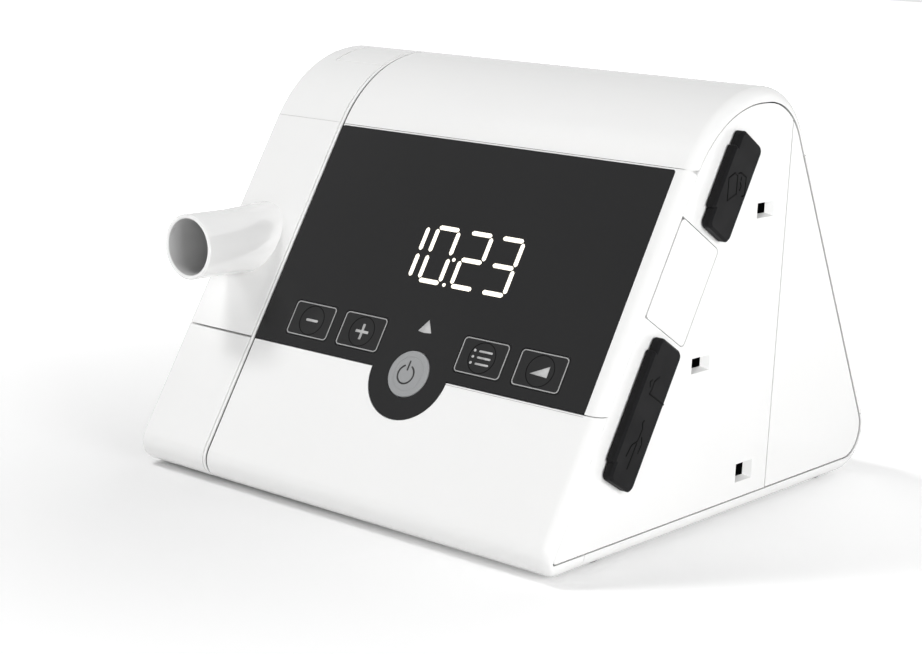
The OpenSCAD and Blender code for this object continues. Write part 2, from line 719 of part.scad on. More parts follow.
module module_part(z0, z1) intersection() {
    module_skin();
    region([[-10, z0], [far, z0], [far, z1], [-10, z1]]);
}
module module_base() place() color("white")
    module_part(-1, low_seam_z - module_seam / 2);
module module_front() place() color("white") difference() {
    module_part(low_seam_z + module_seam / 2, high_seam_z - seam / 2);
    along_y(0, tube_inner_y, tube_x, tube_z, tube_root_r + tube_fit, tube_root_r + tube_fit);
}
module module_top() place() color("white") difference() {
    module_part(high_seam_z + seam / 2, body_h + 5);
    slab([button_box[0][0] - button_gap, button_box[0][1] - button_gap, latch_z[0] + 1],
        [button_box[1][0] + 1, button_box[1][1] + button_gap, body_h + 5]);
}
module module_wall() place() color("white") difference() {
    union() {
        across(module_right - wall, module_end) polygon(inside(wall + 0.2));
        across(module_right + band_gap, module_end) polygon(inside(0));
    }
    along_x(module_right - 10, module_end + 1, port[0], port[1], spigot_r + 0.02);
    slab([module_right - 10, latch_y[0] - latch_gap, latch_z[0] - 2 * latch_drop],
        [module_right + band_gap, latch_y[1] + latch_gap, body_h]);
    slab([module_right - 10, button_box[0][1] - button_gap, button_floor_z],
        [module_right + band_gap, button_box[1][1] + button_gap, body_h]);
    slab([module_right - 10, latch_y[0] - latch_gap, latch_z[0] - latch_drop],
        [module_end + 1, latch_y[1] + latch_gap, latch_z[1] + latch_gap]);
}
module release_button() place() color("white") {
    intersection() {
        module_envelope();
        slab([button_box[0][0], button_box[0][1], body_h - 7],
            [button_box[1][0], button_box[1][1], body_h + 5]);
        across(-body_w, 0) difference() {
            polygon(inside(0));
            polygon(inside(button_t));
        }
    }
    slab([latch_x, latch_y[0], latch_z[0] - 2], [module_right, latch_y[1], body_h - 2]);
    slab([module_right - eps, latch_y[0], latch_z[0]],
        [main_left + wall - 0.5, latch_y[1], latch_z[1]]);
}

module outlet_tube() place() color("white") difference() {
    union() {
        along_y(tube_mouth_y, tube_cone_y, tube_x, tube_z, tube_r, tube_r);
        along_y(tube_cone_y - eps, tube_root_y, tube_x, tube_z, tube_r, tube_root_r);
        along_y(tube_root_y - eps, tube_inner_y, tube_x, tube_z, tube_root_r, tube_root_r);
        intersection() {
            along_y(tube_collar_y, tube_inner_y, tube_x, tube_z, tube_collar_r, tube_collar_r);
            slab([-body_w + wall + tube_fit, 0, 0], [module_right, far, body_h]);
        }
    }
    along_y(tube_mouth_y - 1, tube_inner_y + 1, tube_x, tube_z, tube_bore_r, tube_bore_r);
}
module duct_path(r, knee, y0) {
    along_y(y0, port[0], tube_x, tube_z, r, r);
    translate([tube_x, port[0], tube_z]) sphere(r = knee);
    translate([tube_x, port[0], port[1]]) cylinder(h = tube_z - port[1], r = r);
    translate([tube_x, port[0], port[1]]) sphere(r = knee);
}
module outlet_duct() place() color("gainsboro") difference() {
    union() {
        duct_path(duct_r, duct_r + 0.4, tube_inner_y);
        along_x(tube_x, module_right - wall, port[0], port[1], duct_r);
        along_x(tube_x, spigot_end_x, port[0], port[1], spigot_r);
    }
    duct_path(duct_bore_r, duct_bore_r + 0.1, tube_inner_y - 1);
    along_x(tube_x, spigot_end_x + 1, port[0], port[1], spigot_bore_r);
}
module port_gasket() place() color("dimgray") difference() {
    along_x(module_end, module_end + 0.5, port[0], port[1], spigot_r + 3);
    along_x(module_end - 1, module_end + 2, port[0], port[1], spigot_r + 0.1);
}

base_tray();
front_cover();
display_frame();
display_glass();
top_cover();
rear_cover();
side_panel_front();
side_panel_rear();
latch_sockets();
left_bulkhead();
rubber_feet();
case_screws();
display_module();
display_board();
key_switches();
main_board();
board_standoffs();
card_socket();
data_sockets();
bay_socket();
power_inlet();
blower_base();
blower_cover();
blower_motor();
blower_mounts();
blower_screws();
outlet_bellows();
intake_silencer();
filter_element();
pressure_sensor();
impeller();
rotor_shaft();
key_minus();
key_plus();
key_menu();
key_ramp();
key_power();
card_cover();
port_cover();
bay_cover();
filter_door();
module_base();
module_front();
module_top();
module_wall();
outlet_tube();
outlet_duct();
port_gasket();
release_button();
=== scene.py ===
"""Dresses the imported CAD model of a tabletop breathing-air machine for a studio picture."""

import json
import math

import bmesh
import bpy
from mathutils import Matrix, Vector


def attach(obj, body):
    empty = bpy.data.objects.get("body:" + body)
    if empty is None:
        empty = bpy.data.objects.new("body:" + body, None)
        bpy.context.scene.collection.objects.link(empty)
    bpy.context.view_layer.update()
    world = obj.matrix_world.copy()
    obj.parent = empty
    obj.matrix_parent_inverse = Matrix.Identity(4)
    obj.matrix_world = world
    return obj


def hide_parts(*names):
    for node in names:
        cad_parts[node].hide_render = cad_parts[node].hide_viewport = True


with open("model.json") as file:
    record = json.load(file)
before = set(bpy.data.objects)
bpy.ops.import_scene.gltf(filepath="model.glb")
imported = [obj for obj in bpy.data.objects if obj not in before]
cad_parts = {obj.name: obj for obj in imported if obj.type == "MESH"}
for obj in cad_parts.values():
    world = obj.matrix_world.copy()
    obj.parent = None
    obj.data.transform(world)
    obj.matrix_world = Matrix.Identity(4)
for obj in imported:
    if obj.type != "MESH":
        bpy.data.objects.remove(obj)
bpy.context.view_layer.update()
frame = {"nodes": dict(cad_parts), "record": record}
NODES = frame["nodes"]

MM = 0.001
QUARTER = math.pi / 2

# ---------------------------------------------------------------------------
# Driving sizes in millimetres, in the machine's own corner frame: x = 0 is the
# right end, y runs back from the foot of the front slope, z is up.
# ---------------------------------------------------------------------------
BODY_W = 170.0
BODY_H = 135.0
FRONT_LEAN = math.radians(59.6)
BACK_LEAN = math.radians(61.2)
BACK_REACH = 171.1
FOOT_GAP = 1.2
WALL = 2.5
SEAM = 0.3
FRONT_FOOT_R = 6.75
CREST_FRONT_R = 45.7
REAR_FOOT_R = 14.0
MODULE_W = 29.5
MODULE_GAP = 0.7
MODULE_SEAM = 0.6
BAND_W = 1.2
BAND_GAP = 0.2
RIM_ROUND = 4.2
RIM_DEPTH = 6.0
RIM_LAND = 5.0
END_ROUND = 1.8
GAP_ROUND = 0.35
PANEL_T = 2.5
COVER_T = 3.5
LOW_SEAM_S = 52.3
HIGH_SEAM_S = 130.5

FRONT_NORMAL = math.pi / 2 + FRONT_LEAN
BACK_NORMAL = math.pi / 2 - BACK_LEAN
CREST_Y = (
    CREST_FRONT_R + (BODY_H - CREST_FRONT_R) * math.cos(FRONT_LEAN)
) / math.sin(FRONT_LEAN)
CREST_REAR_R = (
    BACK_REACH - math.sin(BACK_LEAN) * CREST_Y - math.cos(BACK_LEAN) * BODY_H
) / (1 - math.cos(BACK_LEAN))
BODY_RADII = (FRONT_FOOT_R, CREST_FRONT_R, CREST_REAR_R, REAR_FOOT_R)
PANEL_INSET = (4.8, 2.75, 4.6, 3.8)
PANEL_RADII = (0.8, 40.0, 22.0, 9.4)
ARC_STEPS = (14, 26, 22, 26)
LEAST_R = 0.6
MODULE_RIGHT = -BODY_W + MODULE_W
MAIN_LEFT = MODULE_RIGHT + BAND_GAP + BAND_W + MODULE_GAP
LOW_Z = LOW_SEAM_S * math.sin(FRONT_LEAN)
HIGH_Z = HIGH_SEAM_S * math.sin(FRONT_LEAN)


def corner_centre(r, p, q):
    """Centre of a circle of radius r inside two planes, each (outward angle, distance)."""
    turn = math.sin(q[0] - p[0])
    a, b = p[1] - r, q[1] - r
    return (
        (a * math.sin(q[0]) - b * math.sin(p[0])) / turn,
        (b * math.cos(p[0]) - a * math.cos(q[0])) / turn,
    )


def arc(centre, r, start, stop, steps):
    """Points [y, z] along an arc, both ends included."""
    angles = [start + (stop - start) * k / steps for k in range(steps + 1)]
    return [(centre[0] + r * math.cos(a), centre[1] + r * math.sin(a)) for a in angles]


def side_planes(inset):
    """The four planes of the side outline, moved in: bottom, front, top, back."""
    return (
        (-math.pi / 2, -FOOT_GAP - inset[0]),
        (FRONT_NORMAL, -inset[1]),
        (math.pi / 2, BODY_H - inset[2]),
        (BACK_NORMAL, BACK_REACH - inset[3]),
    )


def path(parts, inset, radii):
    """Points [y, z] along part of the side outline. A part is an arc, "A" front foot,
    "B" crest front, "C" crest rear or "D" rear foot, or a point on a plane, given as
    ("bottom", y), ("front", z) or ("back", z). "-A" runs an arc the other way."""
    bottom, front, top, back = side_planes(inset)
    spans = {
        "A": (bottom, front, -math.pi / 2, FRONT_NORMAL - 2 * math.pi),
        "B": (front, top, FRONT_NORMAL, math.pi / 2),
        "C": (top, back, math.pi / 2, BACK_NORMAL),
        "D": (back, bottom, BACK_NORMAL, -math.pi / 2),
    }
    points = []
    for part in parts:
        if isinstance(part, str):
            name = part[-1]
            p, q, start, stop = spans[name]
            k = "ABCD".index(name)
            run = arc(corner_centre(radii[k], p, q), radii[k], start, stop, ARC_STEPS[k])
            points += run[::-1] if part[0] == "-" else run
        elif part[0] == "bottom":
            points.append((part[1], FOOT_GAP + inset[0]))
        elif part[0] == "front":
            y = part[1] / math.tan(FRONT_LEAN) + inset[1] / math.sin(FRONT_LEAN)
            points.append((y, part[1]))
        else:
            reach = BACK_REACH - inset[3]
            y = (reach - math.cos(BACK_LEAN) * part[1]) / math.sin(BACK_LEAN)
            points.append((y, part[1]))
    return points


def inside(parts, depth):
    """Part of the outline moved in by one depth all round."""
    return path(parts, [depth] * 4, [max(r - depth, LEAST_R) for r in BODY_RADII])


def toward_panel(parts, k):
    """Part of the outline on its way from the body's edge, 0, to the side panel's, 1."""
    inset = [k * i for i in PANEL_INSET]
    return path(parts, inset, [r + k * (p - r) for r, p in zip(BODY_RADII, PANEL_RADII)])


FRONT_FOOT = corner_centre(FRONT_FOOT_R, *side_planes([0] * 4)[:2])
REAR_FOOT = corner_centre(REAR_FOOT_R, side_planes([0] * 4)[3], side_planes([0] * 4)[0])
MIDDLE_X = (COVER_T - BODY_W) / 2
MIDDLE_Y = (FRONT_FOOT[0] - FRONT_FOOT_R + REAR_FOOT[0] + REAR_FOOT_R) / 2


def row(x, y, z):
    """A point of the corner frame, in the row frame in metres."""
    return Vector(((x - MIDDLE_X) * MM, (y - MIDDLE_Y) * MM, z * MM))


def on_front(x, s, n):
    """A point by its x, its distance up the front slope and its height over it."""
    c, d = math.cos(FRONT_LEAN), math.sin(FRONT_LEAN)
    return row(x, s * c - n * d, s * d + n * c)


# ---------------------------------------------------------------------------
# Mesh helpers
# ---------------------------------------------------------------------------
SAME_POINT = 1e-6
FLAT_ANGLE = math.radians(0.6)
EDGE_ANGLE = math.radians(35)
FLAT_WEIGHT = 80


def put(name, verts, faces, body, material, slot, replaces=()):
    """Makes a mesh piece that rides on a body and has a material; the slot is not used."""
    mesh = bpy.data.meshes.new(name)
    mesh.from_pydata([tuple(v) for v in verts], [], faces)
    mesh.validate()
    built = bmesh.new()
    built.from_mesh(mesh)
    bmesh.ops.remove_doubles(built, verts=built.verts, dist=SAME_POINT)
    bmesh.ops.recalc_face_normals(built, faces=built.faces)
    if built.calc_volume(signed=True) < 0:
        bmesh.ops.reverse_faces(built, faces=built.faces)
    built.to_mesh(mesh)
    built.free()
    piece = bpy.data.objects.new(name, mesh)
    bpy.context.scene.collection.objects.link(piece)
    finish_piece(piece, body, material, slot, replaces)
    return piece


def finish_piece(piece, body, material, slot, replaces=()):
    """Gives a piece its material, smooth faces, body and the nodes it stands for; the slot is not
    used.
    """
    piece.data.materials.clear()
    piece.data.materials.append(material)
    piece.data.polygons.foreach_set("use_smooth", [True] * len(piece.data.polygons))
    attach(piece, body)
    if replaces:
        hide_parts(*replaces)


def soften(piece, width):
    """Small rounded edges, with flat faces kept flat in the shading."""
    bevel = piece.modifiers.new("edge", "BEVEL")
    bevel.width = width * MM
    bevel.segments = 2
    bevel.limit_method = "ANGLE"
    bevel.angle_limit = EDGE_ANGLE
    bevel.miter_outer = "MITER_ARC"
    shade = piece.modifiers.new("shade", "WEIGHTED_NORMAL")
    shade.keep_sharp = True
    shade.weight = FLAT_WEIGHT


def loft(loops, caps=True):
    """Faces between closed loops of equal length, with caps on the first and the last."""
    n = len(loops[0])
    verts = [v for loop in loops for v in loop]
    faces = []
    for j in range(len(loops) - 1):
        for i in range(n):
            a, b = j * n + i, j * n + (i + 1) % n
            faces.append((a, b, b + n, a + n))
    if caps:
        faces.append(tuple(range(n))[::-1])
        faces.append(tuple(range((len(loops) - 1) * n, len(loops) * n)))
    return verts, faces


def round_rect(a, b, r, steps=8):
    """Points of a rectangle with rounded corners, counterclockwise."""
    low_x, high_x, low_y, high_y = a[0] + r, b[0] - r, a[1] + r, b[1] - r
    corners = ((high_x, high_y), (low_x, high_y), (low_x, low_y), (high_x, low_y))
    points = []
    for k, c in enumerate(corners):
        points += arc(c, r, k * QUARTER, (k + 1) * QUARTER, steps)
    return points


def cut(piece, tool):
    """Cuts a closed mesh out of a piece and removes the tool."""
    boolean = piece.modifiers.new("cut", "BOOLEAN")
    boolean.operation = "DIFFERENCE"
    boolean.solver = "EXACT"
    boolean.object = tool
    graph = bpy.context.evaluated_depsgraph_get()
    mesh = bpy.data.meshes.new_from_object(piece.evaluated_get(graph))
    piece.modifiers.remove(boolean)
    piece.data = mesh
    mesh.polygons.foreach_set("use_smooth", [True] * len(mesh.polygons))
    bpy.data.objects.remove(tool)


def tool_block(loops):
    """A closed mesh that cuts, from loops of row-frame points."""
    verts, faces = loft(loops)
    mesh = bpy.data.meshes.new("tool")
    mesh.from_pydata([tuple(v) for v in verts], [], faces)
    built = bmesh.new()
    built.from_mesh(mesh)
    bmesh.ops.recalc_face_normals(built, faces=built.faces)
    built.to_mesh(mesh)
    built.free()
    tool = bpy.data.objects.new("tool", mesh)
    bpy.context.scene.collection.objects.link(tool)
    return tool


def dressed(node, body, material, slot, bevel):
    """Stands for a CAD node: the same shape with its flat faces joined and soft edges."""
    mesh = NODES[node].data.copy()
    built = bmesh.new()
    built.from_mesh(mesh)
    bmesh.ops.remove_doubles(built, verts=built.verts, dist=2 * SAME_POINT)
    bmesh.ops.dissolve_limit(
        built, angle_limit=FLAT_ANGLE, verts=built.verts, edges=built.edges
    )
    bmesh.ops.recalc_face_normals(built, faces=built.faces)
    built.to_mesh(mesh)
    built.free()
    for layer in list(mesh.attributes):
        if layer.name == "custom_normal":
            mesh.attributes.remove(layer)
    piece = bpy.data.objects.new(node + "_skin", mesh)
    bpy.context.scene.collection.objects.link(piece)
    finish_piece(piece, body, material, slot, (node,))
    soften(piece, bevel)


# ---------------------------------------------------------------------------
# Materials
# ---------------------------------------------------------------------------
NOISE_LOW, NOISE_HIGH = 0.3, 0.7
DRIFT_SCALE = 14
GLOSS_SCALE = 90
GRAIN_DEPTH = 0.00005


def material(name, colour, roughness, **sockets):
    """A Principled material with its node tree, ready for more nodes."""
    made = bpy.data.materials.new(name)
    made.use_nodes = True
    shader = made.node_tree.nodes["Principled BSDF"]
    shader.inputs["Base Color"].default_value = (*colour, 1)
    shader.inputs["Roughness"].default_value = roughness
    for key, value in sockets.items():
        shader.inputs[key.replace("_", " ")].default_value = value
    return made, made.node_tree, shader


def noise(tree, scale, detail=2.0):
    """A noise texture on object coordinates, with scale in cycles per metre."""
    place = tree.nodes.new("ShaderNodeTexCoord")
    texture = tree.nodes.new("ShaderNodeTexNoise")
    texture.inputs["Scale"].default_value = scale
    texture.inputs["Detail"].default_value = detail
    tree.links.new(place.outputs["Object"], texture.inputs["Vector"])
    return texture


def vary(tree, source, low, high, target):
    """Maps a texture's value to a range and feeds it to a socket."""
    mapped = tree.nodes.new("ShaderNodeMapRange")
    mapped.inputs["From Min"].default_value = NOISE_LOW
    mapped.inputs["From Max"].default_value = NOISE_HIGH
    mapped.inputs["To Min"].default_value = low
    mapped.inputs["To Max"].default_value = high
    tree.links.new(source.outputs["Fac"], mapped.inputs["Value"])
    tree.links.new(mapped.outputs["Result"], target)


def vary_colour(tree, source, dark, light, target):
    """Maps a texture's value to a colour between two and feeds it to a socket."""
    ramp = tree.nodes.new("ShaderNodeValToRGB")
    ramp.color_ramp.elements[0].position = NOISE_LOW
    ramp.color_ramp.elements[1].position = NOISE_HIGH
    ramp.color_ramp.elements[0].color = (*dark, 1)
    ramp.color_ramp.elements[1].color = (*light, 1)
    tree.links.new(source.outputs["Fac"], ramp.inputs["Fac"])
    tree.links.new(ramp.outputs["Color"], target)


def grain(tree, shader, scale, strength):
    """Fine moulded grain as bump."""
    texture = noise(tree, scale, 3.0)
    bump = tree.nodes.new("ShaderNodeBump")
    bump.inputs["Strength"].default_value = strength
    bump.inputs["Distance"].default_value = GRAIN_DEPTH
    tree.links.new(texture.outputs["Fac"], bump.inputs["Height"])
    tree.links.new(bump.outputs["Normal"], shader.inputs["Normal"])


def plastic(name, colour, roughness, spread=0.012, grain_scale=2600, grain_strength=0.08,
            **sockets):
    """Moulded plastic: faint colour drift, uneven gloss and a fine grain."""
    made, tree, shader = material(name, colour, roughness, **sockets)
    drift = noise(tree, DRIFT_SCALE)
    dark = [max(c - spread, 0) for c in colour]
    light = [min(c + spread, 1) for c in colour]
    vary_colour(tree, drift, dark, light, shader.inputs["Base Color"])
    gloss = noise(tree, GLOSS_SCALE)
    vary(tree, gloss, roughness * 0.9, roughness * 1.1, shader.inputs["Roughness"])
    grain(tree, shader, grain_scale, grain_strength)
    return made


WHITE = plastic("white_shell", (0.86, 0.86, 0.855), 0.13, spread=0.006, grain_strength=0.015)
TUBE_WHITE = plastic("white_tube", (0.86, 0.86, 0.855), 0.06, spread=0.004, grain_strength=0.005,
                     Coat_Weight=1.0, Coat_Roughness=0.02, Coat_IOR=1.9)
# Painted shade: the bore of the white tube, coloured grey for the shade inside it.
BORE_SHADE = plastic("tube_bore_painted_shade", (0.53, 0.53, 0.53), 0.3, spread=0.01, grain_strength=0.02)
GREY = plastic("grey_inner", (0.5, 0.51, 0.52), 0.5)
POWER_GREY = plastic("power_key_grey", (0.3, 0.305, 0.31), 0.38, spread=0.01)
RUBBER = plastic("black_rubber", (0.007, 0.007, 0.0075), 0.6, spread=0.001,
                 grain_strength=0.25, Specular_IOR_Level=0.13)
# Black for the raised icon lines on the rubber covers, and for the painted shade rings at the key
# dishes' edges.
DARK_ICON_AND_SHADE = plastic("dark_icon_line_and_painted_shade", (0.002, 0.002, 0.002), 0.8, spread=0.0005,
                   Specular_IOR_Level=0.1)
# Black for the latch sockets, and for the painted shade strips below the seams.
SOCKET_AND_SHADE_BLACK = plastic("socket_black", (0.006, 0.006, 0.006), 0.7, spread=0.001,
                 Specular_IOR_Level=0.15)
GLASS = plastic("display_glass", (0.012, 0.012, 0.0125), 0.12, spread=0.001, grain_strength=0.01,
                Specular_IOR_Level=0.25)
KEY = plastic("key_film", (0.014, 0.014, 0.0145), 0.3, spread=0.001, grain_strength=0.02,
              Specular_IOR_Level=0.25)
LINE = plastic("printed_grey", (0.36, 0.36, 0.36), 0.4, spread=0.01)
SYMBOL = plastic("printed_light", (0.5, 0.5, 0.5), 0.4, spread=0.01)
DARK = plastic("printed_dark", (0.02, 0.02, 0.02), 0.4, spread=0.002)
BOARD = plastic("solder_mask", (0.02, 0.12, 0.05), 0.35)
METAL = plastic("plated_metal", (0.6, 0.6, 0.62), 0.3, Metallic=1.0)
BRASS = plastic("turned_brass", (0.7, 0.52, 0.25), 0.3, Metallic=1.0)
FOAM = plastic("open_foam", (0.06, 0.06, 0.065), 0.9, spread=0.03, grain_scale=900,
               grain_strength=0.9)
FILTER = plastic("filter_pad", (0.75, 0.77, 0.8), 0.9, spread=0.05, grain_scale=1500,
                 grain_strength=0.8)
LIT = material("lit_segment", (0.9, 0.85, 0.75), 0.2,
               Emission_Color=(1.0, 0.93, 0.8, 1), Emission_Strength=0.9)[0]

MATERIAL_OF = {
    "shell": WHITE, "glass_dark": GLASS, "key_dark": KEY, "power_grey": POWER_GREY,
    "rubber": RUBBER, "socket_black": SOCKET_AND_SHADE_BLACK, "inner": GREY, "board": BOARD,
    "metal": METAL, "brass": BRASS, "foam": FOAM, "filter": FILTER, "screen": GLASS,
}
for part in frame["record"]["subparts"]:
    data = NODES[part["node"]].data
    data.materials.clear()
    data.materials.append(MATERIAL_OF[part["material_slot"]])


# ---------------------------------------------------------------------------
# Shells of the main body: a cross-section swept along part of the side outline
# ---------------------------------------------------------------------------
def round_end(parts, x, inward):
    """Outlines that round a shell's end at x, from its skin to its end face."""
    runs = []
    for k in range(5):
        a = k / 4 * math.pi / 2
        depth = GAP_ROUND * (1 - math.cos(a))
        runs.append((x + inward * GAP_ROUND * (1 - math.sin(a)), inside(parts, depth)))
    return runs


def main_shell(name, parts, node):
    """A hollow shell from the gap to the right end, where its rim rounds to the panel."""
    steps = 9
    runs = round_end(parts, MAIN_LEFT, 1)[::-1]
    runs.append((-RIM_ROUND, inside(parts, 0)))
    for k in range(1, steps + 1):
        a = k / steps * math.pi / 2
        runs.append((-RIM_ROUND + RIM_ROUND * math.sin(a), toward_panel(parts, 1 - math.cos(a))))
    runs.append((-PANEL_T, toward_panel(parts, 1)))
    runs.append((-PANEL_T, inside(parts, WALL + RIM_LAND)))
    runs.append((-RIM_DEPTH, inside(parts, WALL + RIM_LAND)))
    runs.append((-RIM_DEPTH, inside(parts, WALL)))
    runs.append((MAIN_LEFT, inside(parts, WALL)))
    sections = [[row(x, *points[i]) for x, points in runs] for i in range(len(runs[0][1]))]
    return put(name, *loft(sections), "housing", WHITE, "shell", (node,))


BASE_FRONT_Y = 22.0
front_shell = main_shell(
    "front_shell",
    [("bottom", BASE_FRONT_Y), "A", ("front", LOW_Z - SEAM / 2)], "front_cover")
surround = main_shell(
    "display_surround",
    [("front", LOW_Z + SEAM / 2), ("front", HIGH_Z - SEAM / 2)], "display_frame")
crest = main_shell(
    "crest_shell",
    [("front", HIGH_Z + SEAM / 2), "B", "C", ("back", HIGH_Z + SEAM / 2)], "top_cover")

GLASS_LEFT = MAIN_LEFT
GLASS_RIGHT = -6.0
GLASS_TOP = 129.8
GLASS_T = 2.0
POWER = (-72.0, LOW_SEAM_S)
POWER_R = 7.5
TONGUE_R = 14.8


def circle(centre, r, steps=72):
    """Points round a circle, without the first one again at the end."""
    return arc(centre, r, 0, 2 * math.pi * (1 - 1 / steps), steps - 1)


def front_block(outline, low, high):
    """A block that cuts into the front slope, between two heights over it."""
    return tool_block([[on_front(p[0], p[1], n) for p in outline] for n in (low, high)])


BED = 2.2
BED_TOP = 3
TONGUE_GAP = 0.2
EDGE_GAP = 0.12
GROOVE_BELOW, GROOVE_HALF, GROOVE_DEPTH = 0.6, 0.1, 0.5
cut(front_shell, front_block(circle(POWER, TONGUE_R + TONGUE_GAP), -BED, BED_TOP))
cut(front_shell, front_block(
    round_rect((GLASS_LEFT - 2, LOW_SEAM_S + SEAM / 2),
               (GLASS_RIGHT + 0.15, LOW_SEAM_S + 4), 0.1), -BED, BED_TOP))
cut(front_shell, front_block(
    round_rect((POWER[0] + TONGUE_R - 0.4, LOW_SEAM_S - GROOVE_BELOW - GROOVE_HALF),
               (GLASS_RIGHT, LOW_SEAM_S - GROOVE_BELOW + GROOVE_HALF), 0.02, 1),
    -GROOVE_DEPTH, BED_TOP))
cut(surround, front_block(
    round_rect((GLASS_LEFT - EDGE_GAP, LOW_SEAM_S - 6),
               (GLASS_RIGHT + EDGE_GAP, GLASS_TOP + EDGE_GAP), 0.9), -BED, BED_TOP))
for shell in (front_shell, surround, crest):
    soften(shell, 0.22)

# ---------------------------------------------------------------------------
# Outlet module: its two lower shells
# ---------------------------------------------------------------------------
MODULE_TOP_Z = HIGH_Z + SEAM / 2 - 0.03


def module_block(name, parts, node):
    """A block of the module from its rounded inner end to its rounded left end."""
    steps = 6
    runs = round_end(parts, MODULE_RIGHT, -1)[::-1]
    runs.append((-BODY_W + END_ROUND, inside(parts, 0)))
    for k in range(1, steps + 1):
        a = k / steps * math.pi / 2
        x = -BODY_W + END_ROUND * (1 - math.sin(a))
        runs.append((x, inside(parts, END_ROUND * (1 - math.cos(a)))))
    loops = [[row(x, *p) for p in points] for x, points in runs]
    return put(name, *loft(loops), "outlet_module", WHITE, "shell", (node,))


module_low = module_block(
    "module_low_shell",
    [("back", LOW_Z - MODULE_SEAM / 2), "D", "A", ("front", LOW_Z - MODULE_SEAM / 2)],
    "module_base")
module_mid = module_block(
    "module_mid_shell",
    [("front", LOW_Z + MODULE_SEAM / 2), ("front", MODULE_TOP_Z),
     ("back", MODULE_TOP_Z), ("back", LOW_Z + MODULE_SEAM / 2)],
    "module_front")
for shell in (module_low, module_mid):
    soften(shell, 0.3)

# ---------------------------------------------------------------------------
# Painted shade: dark strips below the seams, and the white parts that keep their CAD shape
# ---------------------------------------------------------------------------
ALL_ROUND = ("A", "B", "C", "D")
# Places and widths of the painted shade strips below the seams.
PANEL_SHADE_X = (-2.4, -0.7)
PANEL_SHADE_W = (0.45, 0.1, 0.3, 0.8)
GAP_SHADE_X = (MAIN_LEFT - 0.6, MAIN_LEFT - 0.1)
GAP_SHADE_DEPTHS = (0.45, 2.4)


def shade_strip(name, ends, outer, inner):
    """A dark strip all round the body that closes the gap below a seam's edges: painted shade
    that makes the seam read darker.
    """
    x0, x1 = ends
    sections = [[row(x1, *p), row(x1, *q), row(x0, *q), row(x0, *p)]
                for p, q in zip(outer, inner)]
    put(name, *loft(sections + sections[:1], caps=False), "housing", SOCKET_AND_SHADE_BLACK, "rubber")


# Painted shade: one black strip in the side panel's groove, one in the gap beside the outlet
# module.
panel_shade_inner = [i + w for i, w in zip(PANEL_INSET, PANEL_SHADE_W)]
shade_strip("panel_painted_shade", PANEL_SHADE_X, path(ALL_ROUND, PANEL_INSET, PANEL_RADII),
     path(ALL_ROUND, panel_shade_inner, PANEL_RADII))
shade_strip("gap_painted_shade", GAP_SHADE_X, *(inside(ALL_ROUND, depth) for depth in GAP_SHADE_DEPTHS))

for node, body, bevel in (
        ("side_panel_front", "housing", 0.12), ("side_panel_rear", "housing", 0.12),
        ("bay_cover", "bay_lid", 0.15), ("rear_cover", "housing", 0.2),
        ("base_tray", "housing", 0.2), ("filter_door", "filter_hatch", 0.2),
        ("module_top", "outlet_module", 0.2), ("module_wall", "outlet_module", 0.35),
        ("release_button", "module_button", 0.8)):
    dressed(node, body, WHITE, "shell", bevel)


# ---------------------------------------------------------------------------
# Glass with the round tongue, and openings for the keys
# ---------------------------------------------------------------------------
KEY_W, KEY_H, KEY_GAP = 17.6, 11.7, 0.2
KEY_CORNER_R = 1.4
KEY_S = 62.1
KEYS = {"minus": -117.9, "plus": -96.3, "menu": -47.8, "ramp": -25.9}


def glass_edge():
    """The glass outline: a rounded rectangle with the power key's tongue below it."""
    x0, x1, s0, s1, r = GLASS_LEFT, GLASS_RIGHT, LOW_SEAM_S + SEAM, GLASS_TOP, 0.8
    lean = math.asin(SEAM / TONGUE_R)
    points = arc((x1 - r, s1 - r), r, 0, math.pi / 2, 6)
    points += arc((x0 + r, s1 - r), r, math.pi / 2, math.pi, 6)
    points += arc((x0 + r, s0 + r), r, math.pi, 1.5 * math.pi, 6)
    points += arc(POWER, TONGUE_R, math.pi - lean, 2 * math.pi + lean, 72)
    points += arc((x1 - r, s0 + r), r, 1.5 * math.pi, 2 * math.pi, 6)
    return points


pane = [[on_front(p[0], p[1], n) for p in glass_edge()] for n in (-GLASS_T, 0)]
glass = put("glass_pane", *loft(pane), "housing", GLASS, "glass_dark", ("display_glass",))
for x in KEYS.values():
    a = (x - KEY_W / 2 - KEY_GAP, KEY_S - KEY_H / 2 - KEY_GAP)
    b = (x + KEY_W / 2 + KEY_GAP, KEY_S + KEY_H / 2 + KEY_GAP)
    cut(glass, front_block(round_rect(a, b, KEY_CORNER_R), -GLASS_T - 1, 1))
cut(glass, front_block(circle(POWER, POWER_R + KEY_GAP), -GLASS_T - 1, 1))
soften(glass, 0.12)


# ---------------------------------------------------------------------------
# Printed lines, icons and lit segments, and painted shade rings on the keys, as thin raised
# shapes
# ---------------------------------------------------------------------------
CAP_STEPS = 6


